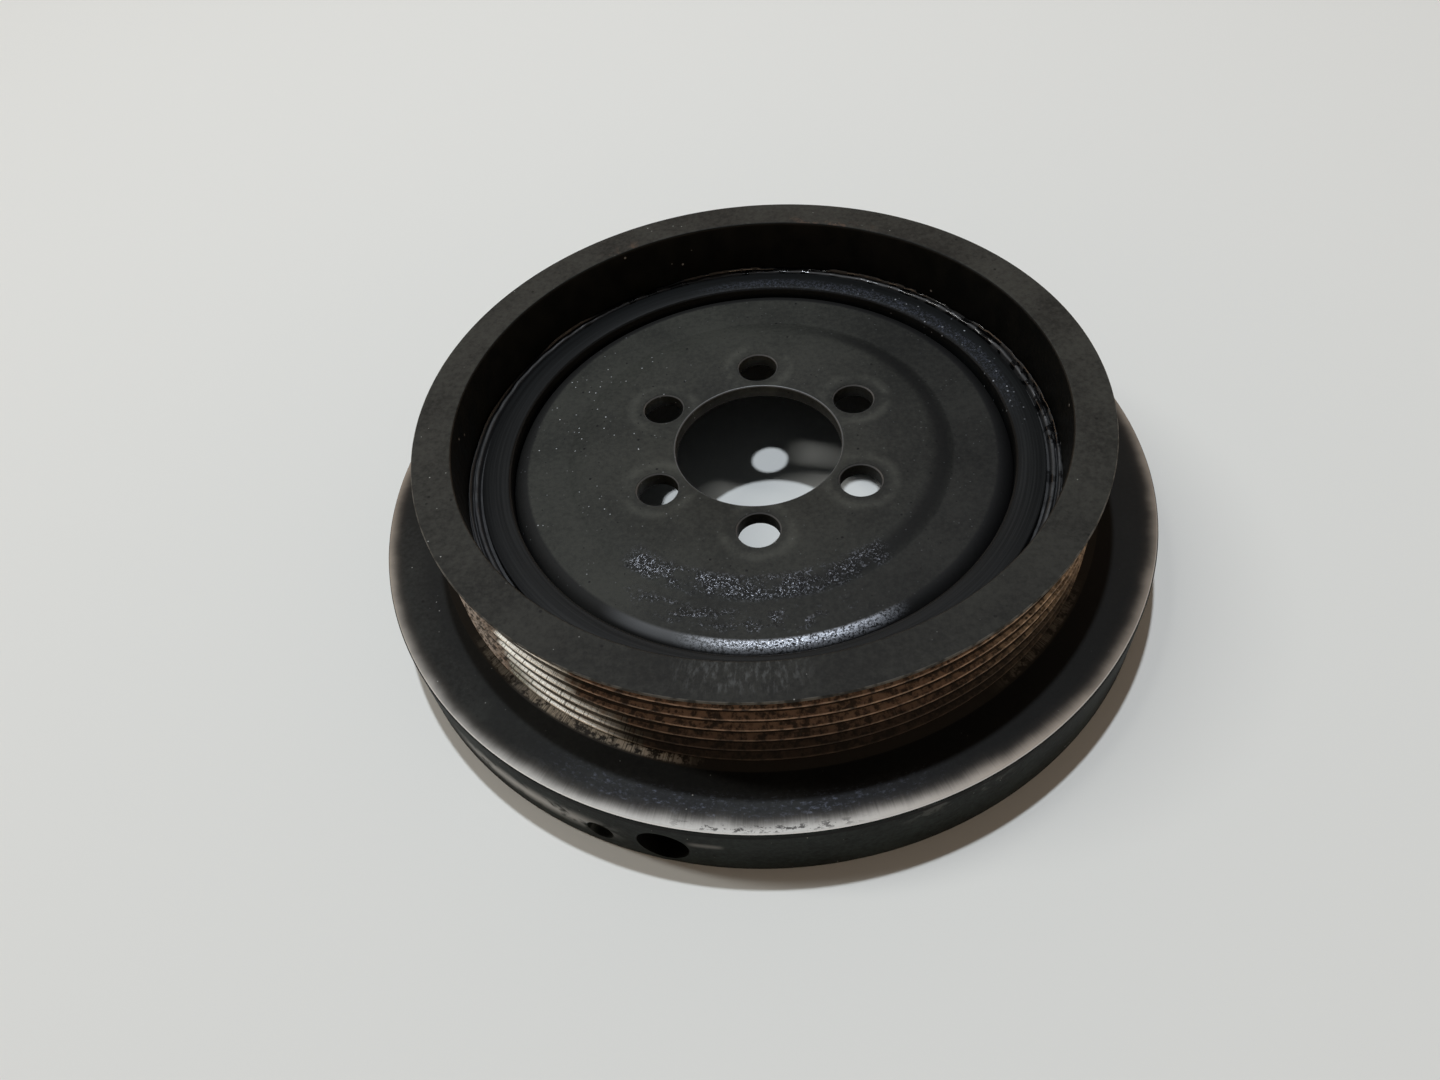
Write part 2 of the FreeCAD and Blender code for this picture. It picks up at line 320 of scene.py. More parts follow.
def bolt_distance(finish):
    """How far a place on the plate is from the axis of the nearest bolt hole."""
    sector = FULL_TURN / BOLT_HOLES
    angle = finish.calc("ARCTAN2", finish.y, finish.x)
    local = finish.calc("WRAP", angle, sector / 2 + math.pi / 2, math.pi / 2 - sector / 2)
    turned = finish.calc("SUBTRACT", local, math.pi / 2)
    along = finish.times(finish.radius, finish.calc("COSINE", turned))
    aside = finish.times(finish.radius, finish.calc("SINE", turned))
    gap = finish.calc("SUBTRACT", along, BOLT_CIRCLE_RADIUS * MM)
    return finish.calc("SQRT", finish.plus(finish.times(gap, gap),
                                           finish.times(aside, aside)))


def plate_dip():
    """The satin black dip paint, with dust, washer marks, dark specks, painted glints and
    painted shade on the boss slope.
    """
    paint = Finish("plate_paint", shine=0.20)
    shade = paint.fade(paint.plus(paint.times(paint.grain(45, 3), 0.5),
                                  paint.times(paint.grain(1100, 4, 0.65), 0.5)), 0.32, 0.68)
    from_left = paint.plus(paint.x, paint.times(paint.y, -0.3))
    dust = paint.times(paint.length_fade(from_left, -40.0, 60.0),
                       paint.outward(BOSS_SLOPE_FROM - 2.2, BOSS_SLOPE_FROM + 0.3, 0.65, 1.0))
    dusty = paint.mix(shade, rgb(34, 35, 32), rgb(56, 57, 52))
    clean = paint.mix(shade, rgb(17, 17, 16), rgb(41, 41, 38))
    colour = paint.mix(dust, dusty, clean)
    # Painted shade: the boss slope is darkened on its right side.
    slope = paint.times(paint.ring(BOSS_SLOPE_FROM - 0.7, BOSS_FOOT - 0.7, 1.2),
                        paint.facing(-5, 68, 24))
    colour = paint.mix(paint.times(slope, 0.75), colour, rgb(8, 8, 8))
    marks = paint.times(paint.between(bolt_distance(paint), *WASHER_MARK, 1.2),
                        paint.fade(paint.grain(120, 4, 0.7), 0.34, 0.62),
                        paint.outward(BOSS_SLOPE_FROM - 2.2, BOSS_SLOPE_FROM - 5.2))
    colour = paint.mix(paint.times(marks, 0.22), colour, rgb(104, 105, 97))
    colour = paint.mix(paint.specks(420, 0.16, 0.12), colour, rgb(8, 8, 8))
    colour = paint.mix(paint.specks(900, 0.20, 0.06, 7.7), colour, rgb(8, 8, 8))
    # Painted glints: bright specks, mostly on the left.
    left = paint.plus(paint.times(paint.facing(172, 44, 20), 0.9), 0.10)
    glints = paint.times(paint.specks(850, 0.17, 0.36, 3.1), left,
                         paint.fade(paint.grain(130, 2), 0.40, 0.58))
    paint.colour = paint.mix(glints, colour, rgb(180, 184, 186))
    return paint


def plate_oil(paint):
    """Where oil lies: broken patches on the near slope, and smaller ones beyond it."""
    streaks = paint.stretched(4, 0.6, 9, 330, 0)
    slope = paint.times(paint.ring(BOSS_SLOPE_FROM - 2.0, BOSS_FOOT - 0.3, 1.0),
                        paint.facing(-91, 40, 3), paint.fade(streaks, 0.32, 0.48))
    flat = paint.times(paint.ring(BOSS_FOOT + 2.3, BOSS_FOOT + 7.1, 1.4),
                       paint.facing(-97, 24, 10), paint.fade(streaks, 0.46, 0.58))
    return paint.times(paint.most(slope, flat),
                       paint.fade(paint.grain(300, 5, 0.75), 0.38, 0.52))


def plate_edges(paint):
    """The rubbed front edges of the centre bore and the bolt holes."""
    bore = paint.outward(BORE_RADIUS + 0.34, BORE_RADIUS + 0.26)
    holes = paint.length_fade(bolt_distance(paint),
                              BOLT_HOLE_RADIUS + 0.26, BOLT_HOLE_RADIUS + 0.20)
    return paint.times(paint.upward(HUB_FACE - 0.38, HUB_FACE - 0.28),
                       paint.most(bore, holes))


def plate_paint():
    """The dip paint, oily on the near side and darker round the bend, with a wet gloss and
    painted highlights on the near bend.
    """
    paint = plate_dip()
    grit = paint.grain(2100, 4, 0.8)
    oily = plate_oil(paint)
    grains = paint.times(oily, paint.fade(grit, 0.51, 0.60))
    bend = paint.outward(BEND_FROM - 0.2, BEND_FROM + 0.6)
    top = paint.times(bend, paint.outward(BEND_FROM + 2.8, BEND_FROM + 1.7))
    # The near bend is glossy where wet, and lightened there as a painted highlight; a dull
    # painted highlight lies left of it.
    wet_bend_highlight = paint.times(top, paint.facing(-83, 14, 13), paint.fade(grit, 0.42, 0.54))
    dull_bend_highlight = paint.times(top, paint.facing(-106, 12, 10), 0.28)
    edge = plate_edges(paint)
    # Darker where oil lies, and all round the bend.
    dark = paint.most(paint.times(oily, 0.70), paint.times(bend, 0.85))
    colour = paint.mix(dark, paint.colour, rgb(12, 12, 13))
    colour = paint.mix(paint.times(grains, 0.9), colour, rgb(112, 114, 119))
    colour = paint.mix(paint.times(wet_bend_highlight, 0.95), colour, rgb(186, 190, 198))
    colour = paint.mix(dull_bend_highlight, colour, rgb(150, 152, 154))
    colour = paint.mix(paint.times(edge, 0.5), colour, rgb(130, 131, 132))
    gloss = paint.most(grains, paint.times(edge, 0.6))
    rough = paint.calc("SUBTRACT", paint.fade(gloss, 0.0, 1.0, 0.66, 0.30),
                       paint.times(wet_bend_highlight, 0.34))
    grainy = paint.plus(paint.times(oily, 1.5),
                        paint.times(top, paint.facing(-82, 18, 12), 1.6))
    relief = paint.plus(paint.times(grit, grainy), paint.times(paint.grain(3000, 3), 0.2))
    wet = paint.most(gloss, wet_bend_highlight, dull_bend_highlight)
    return paint.wear(colour, rough, relief, 0.08, paint.times(wet, 0.85))


plate_mesh = spun(outline([
    (BORE_RADIUS, HUB_FACE - SHEET, 0.3),
    (BORE_RADIUS, HUB_FACE, 0.35),
    (BOSS_SLOPE_FROM, HUB_FACE, BOSS_BLEND),
    (BOSS_FOOT, PLATE_FLAT, 0.25),
    (SKIRT_RADIUS, PLATE_FLAT, BEND_RADIUS),
    (SKIRT_RADIUS, SKIRT_END, 0.3),
    (SKIRT_RADIUS - SHEET, SKIRT_END, 0.3),
    (SKIRT_RADIUS - SHEET, PLATE_FLAT - SHEET, 0.6),
    (BOSS_FOOT, PLATE_FLAT - SHEET, 0.25),
    (BOSS_SLOPE_FROM, HUB_FACE - SHEET, BOSS_BLEND),
]))
hub_plate = finished(plate_mesh, "hub_plate_pressed", plate_paint())
punch = [
    (0, -PUNCH_CLEAR),
    (BOLT_HOLE_RADIUS, -PUNCH_CLEAR),
    (BOLT_HOLE_RADIUS, HUB_FACE - HOLE_BEVEL),
    (BOLT_HOLE_RADIUS + HOLE_BEVEL + PUNCH_CLEAR, HUB_FACE + PUNCH_CLEAR),
    (0, HUB_FACE + PUNCH_CLEAR),
]
bolt_places = [Matrix.Rotation(FULL_TURN * n / BOLT_HOLES, 4, "Z")
               @ Matrix.Translation((0, BOLT_CIRCLE_RADIUS * MM, 0))
               for n in range(BOLT_HOLES)]
drilled(hub_plate, tool(punch, bolt_places))
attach(hub_plate, "root")
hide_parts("hub_plate")

# The hub ring. It is turned from steel and pressed over the plate's skirt. Its front
# face has fine turning lines under a thin blue-black coat, and a rounded inner edge.
HUB_RING_RADIUS, HUB_RING_REAR, _ = span("hub_ring")


def turned_steel():
    """Blue-black turned steel, with lines that run round it, dirt and oily grains; darker and
    bluer on the far side, with painted glints.
    """
    steel = Finish("turned_steel", shine=0.16)
    lines = steel.stretched(3, 0.7, 1.5, 5200, 900)
    streaks = steel.fade(steel.stretched(4, 0.7, 1.2, 2600, 0), 0.36, 0.64)
    plain = steel.mix(streaks, rgb(7, 8, 8), rgb(27, 28, 28))
    far_side_tone = steel.mix(streaks, rgb(5, 6, 6), rgb(18, 21, 22))
    # Darker and bluer on the far side.
    colour = steel.mix(steel.facing(80, 72, 34), plain, far_side_tone)
    grit = steel.grain(1900, 4, 0.8)
    oily = steel.times(steel.ring(SKIRT_RADIUS + 0.7, SKIRT_RADIUS + 3.2, 0.9),
                       steel.facing(56, 40, 14), steel.fade(grit, 0.48, 0.60))
    colour = steel.mix(steel.times(oily, 0.9), colour, rgb(78, 82, 92))
    # Painted glints: bright flecks on the far right of the face.
    painted_glints = steel.times(steel.specks(800, 0.20, 0.50, 1.7), steel.facing(34, 24, 12),
                         steel.fade(steel.grain(160, 2), 0.40, 0.56))
    colour = steel.mix(painted_glints, colour, rgb(160, 164, 170))
    relief = steel.plus(steel.times(lines, 0.5), steel.times(grit, steel.plus(oily, 0.25)))
    return steel.wear(colour, steel.fade(oily, 0.0, 1.0, 0.52, 0.30), relief, 0.05,
                      steel.times(oily, 0.8))


hub_ring = finished(spun(outline([
    (SKIRT_RADIUS, HUB_RING_REAR, 0.4),
    (HUB_RING_RADIUS, HUB_RING_REAR, 0.4),
    (HUB_RING_RADIUS, HUB_FACE, 0.35),
    (SKIRT_RADIUS, HUB_FACE, 0.8),
])), "hub_ring_turned", turned_steel())
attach(hub_ring, "root")
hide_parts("hub_ring")

# The rubber ring. It is moulded and bonded between the hub ring and the pulley ring.
# Its front end is lumpy and wet with oil, with a torn edge of flash near the wall.
CAVITY_RADIUS, RUBBER_REAR, RUBBER_TOP = span("rubber_ring")
RUBBER_FRONT = RUBBER_TOP - 0.2
RUBBER_STEPS = 540
LUMP_HEIGHT = 0.25
LUMPS_TO_A_METRE = 350
BEAD_INNER = HUB_RING_RADIUS + 1.0
BEAD_OUTER = CAVITY_RADIUS - 1.4
FLASH_FOOT = CAVITY_RADIUS - 1.0
FLASH_TOP = CAVITY_RADIUS - 0.5
FLASH_HEIGHT = 0.6
FLASH_STEPS = 900
FLASH_TEARS = 4.0
FLASH_NICKS = 24.0
FLASH_SWAY = 0.0030
RAGGED_AT = 48.0
RAGGED_ELSEWHERE = 0.12


def wet_rubber():
    """Black rubber, glossy with oil on the far side and dull on the left."""
    rubber = Finish("wet_rubber", shine=0.8)
    lumps = rubber.grain(700, 3, 0.6)
    colour = rubber.mix(lumps, rgb(3, 3, 4), rgb(12, 13, 14))
    oil = rubber.times(rubber.facing(58, 75, 25),
                       rubber.fade(rubber.grain(300, 3, 0.6), 0.44, 0.58))
    return rubber.wear(colour, rubber.fade(oil, 0.0, 1.0, 0.66, 0.18), lumps, 0.05)


def lumpy(mesh, low, high):
    """Move verts up or down by noise, fully above one height and not below another."""
    for vert in mesh.verts:
        share = min(max((vert.co.z / MM - low) / (high - low), 0.0), 1.0)
        vert.co.z += share * noise.noise(vert.co * LUMPS_TO_A_METRE) * LUMP_HEIGHT * MM


def torn(mesh, foot):
    """Sink the crest of the flash where it has torn off, and let it wander. It is
    ragged on the far right and nearly whole elsewhere."""
    for vert in mesh.verts:
        if vert.co.z > foot * MM:
            angle = math.atan2(vert.co.y, vert.co.x)
            x, y = math.cos(angle), math.sin(angle)
            there = max(math.cos(angle - math.radians(RAGGED_AT)), 0.0) ** 3
            share = RAGGED_ELSEWHERE + (1 - RAGGED_ELSEWHERE) * there
            tear = noise.noise(Vector((x, y, 0.3)) * FLASH_TEARS)
            nick = noise.noise(Vector((x, y, 1.7)) * FLASH_NICKS)
            drop = min(max(0.35 - 1.3 * tear - 0.8 * nick * share, 0.0), 1.0)
            vert.co.z -= drop * (vert.co.z - (foot - 0.4) * MM)
            sway = 1 + FLASH_SWAY * nick * share
            vert.co.x *= sway
            vert.co.y *= sway


rubber_skin = wet_rubber()
rubber_mesh = spun(outline([
    (HUB_RING_RADIUS, RUBBER_REAR, 0),
    (CAVITY_RADIUS, RUBBER_REAR, 0),
    (CAVITY_RADIUS, RUBBER_FRONT - 0.8, 0),
    (BEAD_OUTER + 0.2, RUBBER_FRONT - 0.8, 0.15),
    (BEAD_OUTER, RUBBER_FRONT + 0.2, 0.3),
    (BEAD_INNER, RUBBER_FRONT + 0.1, 0.3),
    (BEAD_INNER - 0.3, RUBBER_FRONT - 1.0, 0.15),
    (HUB_RING_RADIUS, RUBBER_FRONT - 0.9, 0),
]), RUBBER_STEPS)
lumpy(rubber_mesh, RUBBER_FRONT - 1.5, RUBBER_FRONT - 0.5)
rubber_ring = finished(rubber_mesh, "rubber_ring_moulded", rubber_skin)
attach(rubber_ring, "root")
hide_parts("rubber_ring")

flash_mesh = spun(outline([
    (FLASH_FOOT, RUBBER_FRONT - 1.1, 0),
    (FLASH_TOP + 0.45, RUBBER_FRONT - 1.1, 0),
    (FLASH_TOP + 0.25, RUBBER_FRONT + FLASH_HEIGHT * 0.5, 0.15),
    (FLASH_TOP, RUBBER_FRONT + FLASH_HEIGHT, 0.12),
    (FLASH_TOP - 0.25, RUBBER_FRONT + FLASH_HEIGHT * 0.3, 0.15),
]), FLASH_STEPS)
torn(flash_mesh, RUBBER_FRONT)
rubber_flash = finished(flash_mesh, "rubber_flash", rubber_skin)
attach(rubber_flash, "root")

# The pulley ring. It is one iron casting, turned all over: a front lip, six belt
# grooves and the wide inertia ring behind them. It is painted satin black. The belt
# grooves and the inertia ring's front edge have worn to bare and rusted metal.
RING_RADIUS, RING_REAR, RIM_FACE = span("pulley_ring")
RING_FACE = 15.0
RIM_RADIUS = 71.5
LIP_EDGE = RIM_FACE - 0.70
CREST_RADIUS = RIM_RADIUS - 1.30
GROOVE_BOTTOM = CREST_RADIUS - 2.95
GROOVE_PITCH = 3.56
GROOVES = 6
FIRST_GROOVE = LIP_EDGE - 2.00
HALF_MOUTH = 1.53
HALF_BOTTOM = 0.456
LAST_RIB_FOOT = RING_FACE + 0.87
NOTCH_RADIUS = CREST_RADIUS - 0.80
NOTCH_HEIGHT = RING_FACE + 0.58
SHOULDER_FOOT = RIM_RADIUS + 0.60
POINT_ANGLE = 118
DRILL_CLEAR = 2.0
DRILLED_SHARP_ANGLE = 10
RIM, WALL, TRACK, FACE, EDGE = range(5)


def iron_paint(name, dark, light, shine):
    """Satin black paint on iron, finely grained, with dust and dark dots."""
    paint = Finish(name, shine=shine)
    shade = paint.fade(paint.plus(paint.times(paint.grain(60, 3), 0.45),
                                  paint.times(paint.grain(1000, 4, 0.65), 0.55)),
                       0.32, 0.68)
    colour = paint.mix(shade, dark, light)
    colour = paint.mix(paint.specks(420, 0.18, 0.12), colour, rgb(7, 7, 7))
    dust = paint.times(paint.specks(950, 0.16, 0.12, 2.3),
                       paint.fade(paint.grain(110, 2), 0.50, 0.66))
    paint.colour = paint.mix(dust, colour, rgb(170, 172, 170))
    return paint


def rim_paint():
    """Paint of the front lip, rusty in two spots, with painted shade on the near side and
    wipe marks there lightened as a painted sheen.
    """
    paint = iron_paint("rim_paint", rgb(18, 19, 17), rgb(50, 51, 47), 0.20)
    rust = paint.times(paint.fade(paint.grain(260, 4, 0.7), 0.50, 0.62),
                       paint.outward(CAVITY_RADIUS + 3.5, CAVITY_RADIUS + 1.2),
                       paint.most(paint.facing(121, 4, 3), paint.facing(73, 7, 5)))
    colour = paint.mix(paint.times(rust, 0.7), paint.colour, rgb(86, 68, 56))
    # Painted shade: the near side is darkened.
    near = paint.times(paint.facing(-80, 40, 30), 0.40)
    colour = paint.mix(near, colour, rgb(17, 18, 17))
    edge = paint.times(paint.outward(RIM_RADIUS - 0.26, RIM_RADIUS - 0.16),
                       paint.fade(paint.grain(420, 3), 0.38, 0.60))
    colour = paint.mix(paint.times(edge, 0.45), colour, rgb(104, 103, 98))
    # Wipe marks on the near side, lightened as a painted sheen.
    wiped_sheen = paint.times(paint.facing(-92, 8, 5),
                        paint.fade(paint.stretched(5, 0.7, 75, 420, 0), 0.46, 0.64),
                        paint.outward(RIM_RADIUS - 0.3, RIM_RADIUS - 3.5))
    colour = paint.mix(paint.times(wiped_sheen, 0.5), colour, rgb(68, 69, 68))
    relief = paint.plus(paint.times(paint.grain(1300, 3, 0.6), 0.5), paint.times(wiped_sheen, 0.3))
    return paint.wear(colour, paint.fade(wiped_sheen, 0.0, 1.0, 0.66, 0.46), relief, 0.06,
                      paint.times(wiped_sheen, 0.25))


def wall_black():
    """The inner wall, black and oily."""
    wall = Finish("wall_black", shine=0.12)
    smear = wall.stretched(3, 0.6, 14, 0, 160)
    colour = wall.mix(smear, rgb(4, 5, 5), rgb(14, 16, 15))
    colour = wall.mix(wall.specks(380, 0.14, 0.05), colour, rgb(120, 122, 124))
    return wall.wear(colour, wall.fade(smear, 0.35, 0.65, 0.40, 0.56),
                     wall.grain(600, 3), 0.06)


def track_rust(track, blotch):
    """Rust on the ribs: brown in front, pale at the left end, and tan on the right, lightened
    as a painted warm highlight.
    """
    brown = track.mix(track.fade(blotch, 0.38, 0.60), rgb(40, 31, 26), rgb(114, 93, 78))
    tan = track.mix(track.fade(blotch, 0.36, 0.62), rgb(80, 70, 58), rgb(172, 154, 132))
    pale = track.mix(track.fade(blotch, 0.40, 0.58), rgb(70, 67, 64), rgb(176, 170, 164))
    # Tan rust on the right, lightened as a painted warm highlight.
    rust = track.mix(track.facing(-28, 18, 14), brown, tan)
    rust = track.mix(track.facing(-149, 12, 6), rust, pale)
    dots = track.specks(800, 0.32, 0.45, 5.0)
    return track.mix(track.times(dots, 0.85), rust, rgb(18, 13, 10))


def track_cover(track, blotch, lower):
    """How much of the steel the rust covers: patchy, and least on the left under the painted
    highlight.
    """
    patches = track.stretched(3, 0.6, 22, 300, 500)
    # Rust is kept off where the painted highlight falls on the left.
    bright = track.most(track.facing(-126, 4, 7),
                        track.times(track.facing(-118, 5, 8), lower))
    thin = track.plus(track.times(blotch, 0.4), track.times(patches, 0.7),
                      track.times(bright, -0.60))
    return track.times(track.fade(thin, 0.16, 0.40), 0.95)


def track_crests(track):
    """The rubbed middles of the rib tips."""
    middle = (FIRST_GROOVE + GROOVE_PITCH / 2) * MM
    phase = track.calc("PINGPONG", track.calc("SUBTRACT", track.height, middle),
                       GROOVE_PITCH / 2 * MM)
    return track.times(track.length_fade(phase, 0.28, 0.16),
                       track.outward(CREST_RADIUS - 0.2, CREST_RADIUS - 0.05),
                       track.fade(track.grain(420, 3), 0.42, 0.58))


def track_groove_shade(track, streaks):
    """Painted shade in the grooves, which starts higher up the flanks at both sides."""
    sunk = track.calc("SUBTRACT", CREST_RADIUS * MM, track.radius)
    sides = track.most(track.facing(-138, 26, 20), track.facing(-30, 24, 20))
    sunk = track.plus(sunk, track.times(sides, 0.62 * MM), track.times(streaks, 0.22 * MM))
    return track.times(track.length_fade(sunk, 1.26, 1.36),
                       track.upward(RING_FACE + 0.9, RING_FACE + 1.3))


def track_rubbed(track, blotch):
    """Where the shoulder below the last rib is rubbed bare."""
    left_end = track.times(track.facing(-134, 6, 6), 0.35)
    right_end = track.times(track.facing(-40, 8, 6), 0.2)
    return track.times(track.most(track.facing(-117, 13, 6), left_end, right_end),
                       track.ring(CREST_RADIUS - 0.1, SHOULDER_FOOT - 0.5, 0.3),
                       track.fade(blotch, 0.60, 0.46))


def worn_track():
    """Bare steel on the ribs, rusted on the near side, with a painted highlight on the left
    and painted shade in the grooves and on the lower ribs.
    """
    track = Finish("worn_track", shine=0.30)
    streaks = track.stretched(4, 0.7, 260, 40, 40)
    blotch = track.grain(700, 4, 0.65)
    lower = track.upward(RING_FACE + 14.0, RING_FACE + 4.0)
    scored = track.fade(streaks, 0.36, 0.56)
    dull_steel = track.mix(scored, rgb(54, 54, 48), rgb(142, 142, 132))
    # A painted highlight: nearly white steel in a narrow band on the left, further right
    # lower down.
    highlight_steel = track.mix(track.fade(streaks, 0.37, 0.45), rgb(100, 102, 94),
                            rgb(250, 253, 250))
    highlight_share = track.mix(lower, track.facing(-128, 2, 9), track.facing(-121, 2, 9))
    steel = track.mix(highlight_share, dull_steel, highlight_steel)
    cover = track_cover(track, blotch, lower)
    colour = track.mix(cover, steel, track_rust(track, blotch))
    colour = track.mix(track.times(track_crests(track), cover, 0.4), colour,
                       rgb(166, 144, 124))
    # Painted shade deep in the grooves.
    deep = track_groove_shade(track, streaks)
    colour = track.mix(track.times(deep, 0.86), colour, rgb(17, 13, 10))
    # Painted shade on the lower ribs on the near and right side.
    low = track.times(track.upward(RING_FACE + 14.0, RING_FACE + 3.5),
                      track.facing(-70, 42, 8))
    colour = track.mix(track.times(low, 0.88), colour, rgb(11, 9, 7))
    shoulder = track.upward(RING_FACE + 1.0, RING_FACE + 0.7)
    colour = track.mix(shoulder, colour, rgb(27, 25, 22))
    colour = track.mix(track.times(shoulder, track_rubbed(track, blotch)), colour,
                       track.mix(scored, rgb(66, 62, 54), rgb(158, 152, 140)))
    rough = track.plus(track.fade(cover, 0.0, 1.0, 0.42, 0.75), track.times(shoulder, 0.18))
    relief = track.plus(track.times(streaks, 0.5), track.times(blotch, 0.5))
    metal = track.times(track.fade(cover, 0.2, 0.8, 0.50, 0.0),
                        track.calc("SUBTRACT", 1.0, deep),
                        track.fade(shoulder, 0.0, 1.0, 1.0, 0.2))
    return track.wear(colour, rough, relief, 0.06, metal)


def bare_reach(paint, strokes, blotch):
    """The radius, let wander, that says how far the bare edge band reaches inwards."""
    near = paint.facing(-88, 30, 20)
    return paint.plus(paint.radius, paint.times(strokes, 0.16 * MM),
                      paint.times(blotch, 1.8 * MM), paint.times(near, 0.6 * MM),
                      paint.times(near, strokes, 0.7 * MM),
                      paint.times(paint.facing(-122, 14, 12), -0.3 * MM))


def bare_metal(paint, reach):
    """The bare edge band: grey, brownish on the right and left, chipped in front."""
    share = paint.length_fade(reach, RING_RADIUS - 2.0, RING_RADIUS + 1.4)
    grey = paint.mix(share, rgb(66, 62, 57), rgb(162, 160, 155))
    brown = paint.mix(share, rgb(50, 45, 40), rgb(150, 140, 128))
    worn = paint.mix(paint.most(paint.facing(-10, 58, 20), paint.facing(150, 52, 24)),
                     grey, brown)
    chips = paint.times(paint.facing(-90, 9, 5),
                        paint.fade(paint.stretched(4, 0.7, 45, 1300, 0), 0.52, 0.57),
                        paint.ring(RING_RADIUS - 1.9, RING_RADIUS - 0.6, 0.3))
    return paint.mix(paint.times(chips, 0.85), worn, rgb(40, 36, 35))


def ring_paint():
    """Paint of the inertia ring's face, worn bare towards its outer edge, with painted shade
    next to the track and a painted sheen on the near side.
    """
    paint = iron_paint("ring_paint", rgb(10, 11, 10), rgb(35, 37, 35), 0.16)
    strokes = paint.stretched(3, 0.7, 240, 60, 0)
    blotch = paint.grain(110, 3, 0.6)
    reach = bare_reach(paint, strokes, blotch)
    bare = paint.length_fade(reach, RING_RADIUS - 3.2, RING_RADIUS + 1.2)
    from_left = paint.plus(paint.x, paint.times(paint.y, 0.2))
    dark = paint.times(paint.length_fade(from_left, -30.0, 40.0), 0.80)
    colour = paint.mix(dark, paint.colour, rgb(7, 8, 7))
    dull = paint.fade(paint.grain(70, 3), 0.50, 0.62)
    stain = paint.times(paint.facing(-121, 5, 4), paint.fade(blotch, 0.36, 0.48),
                        paint.ring(RING_RADIUS - 7.5, RING_RADIUS - 4.5, 1.6))
    colour = paint.mix(paint.most(paint.times(dull, 0.6), paint.times(stain, 0.85)),
                       colour, rgb(12, 14, 13))
    # Painted shade: the face darkens towards the track, beside the rim's shadow.
    inner = paint.length_fade(paint.plus(paint.radius, paint.times(blotch, 1.5 * MM)),
                              RING_RADIUS - 5.0, RING_RADIUS - 9.0)
    colour = paint.mix(paint.times(inner, 0.6), colour, rgb(6, 9, 10))
    # A painted bluish sheen on the near side, broken by scratches.
    rubbed = paint.times(paint.facing(-94, 20, 12),
                         paint.ring(RING_RADIUS - 7.5, RING_RADIUS - 2.5, 1.4))
    scratches = paint.fade(paint.stretched(5, 0.8, 60, 1500, 0), 0.52, 0.66)
    sheen = paint.times(rubbed, paint.plus(paint.times(scratches, 0.75), 0.10))
    colour = paint.mix(sheen, colour, rgb(66, 70, 80))
    colour = paint.mix(bare, colour, bare_metal(paint, reach))
    lit_edge = paint.times(paint.outward(RING_RADIUS - 0.50, RING_RADIUS - 0.34),
                           paint.facing(-80, 60, 25))
    colour = paint.mix(paint.times(lit_edge, 0.6), colour, rgb(206, 204, 200))
    rough = paint.calc("SUBTRACT", paint.fade(bare, 0.0, 1.0, 0.66, 0.50),
                       paint.times(sheen, 0.20))
    relief = paint.plus(paint.times(strokes, bare, 0.4),
                        paint.times(paint.grain(1200, 3, 0.6), 0.4))
    metal = paint.most(paint.times(bare, 0.35), paint.times(sheen, 0.5))
    return paint.wear(colour, rough, relief, 0.06, metal)


def edge_paint():
    """Paint of the inertia ring's outer wall, scuffed pale on the left."""
    paint = iron_paint("edge_paint", rgb(13, 17, 17), rgb(34, 41, 41), 0.08)
    smear = paint.stretched(3, 0.65, 16, 0, 220)
    scuff = paint.times(paint.facing(-123, 8, 8), paint.fade(smear, 0.34, 0.50),
                        paint.belt(5.0, 8.4, 2.6))
    streak = paint.times(paint.facing(-97.4, 1.8, 0.8), paint.belt(8.8, 10.0, 0.7))
    smudge = paint.times(paint.facing(-66, 5, 4), 0.4, paint.fade(smear, 0.50, 0.60),
                         paint.upward(9.0, 12.0))
    colour = paint.mix(paint.times(scuff, 0.85), paint.colour, rgb(168, 174, 177))
    colour = paint.mix(paint.times(paint.most(streak, smudge), 0.6), colour,
                       rgb(112, 116, 117))
    line = paint.belt(RING_FACE - 1.4, RING_FACE - 0.55, 0.12)
    colour = paint.mix(paint.times(line, 0.9), colour, rgb(3, 3, 4))
    return paint.wear(colour, 0.60, paint.grain(900, 3, 0.6), 0.05)


def wall_region(radius, height):
    """Which finish a face of the pulley ring has, from its middle."""
    if radius < CAVITY_RADIUS + 0.25:
        return WALL
    if height > LIP_EDGE + 0.05:
        return RIM
    if height > RING_FACE + 0.02 and radius < SHOULDER_FOOT - 0.05:
        return TRACK
    if radius < RING_RADIUS - 0.25 and height > RING_FACE - 1:
        return FACE
    return EDGE


ring_corners = [
    (CAVITY_RADIUS, RING_REAR, 0.4),
    (CAVITY_RADIUS, RIM_FACE, 0.5),
    (RIM_RADIUS, RIM_FACE, 0.25),
    (RIM_RADIUS, LIP_EDGE, 0.15),
]
for groove in range(GROOVES):
    centre = FIRST_GROOVE - groove * GROOVE_PITCH
    if groove:
        ring_corners.append((CREST_RADIUS, centre + HALF_MOUTH, 0.12))
    ring_corners += [
        (GROOVE_BOTTOM, centre + HALF_BOTTOM, 0.3),
        (GROOVE_BOTTOM, centre - HALF_BOTTOM, 0.3),
        (CREST_RADIUS, centre - HALF_MOUTH, 0.12),
    ]
ring_corners += [
    (CREST_RADIUS, LAST_RIB_FOOT, 0.1),
    (NOTCH_RADIUS, NOTCH_HEIGHT, 0.1),
    (SHOULDER_FOOT, RING_FACE, 0.2),
    (RING_RADIUS, RING_FACE, 0.45),
    (RING_RADIUS, RING_REAR, 0.45),
]
ring_mesh = spun(outline(ring_corners))
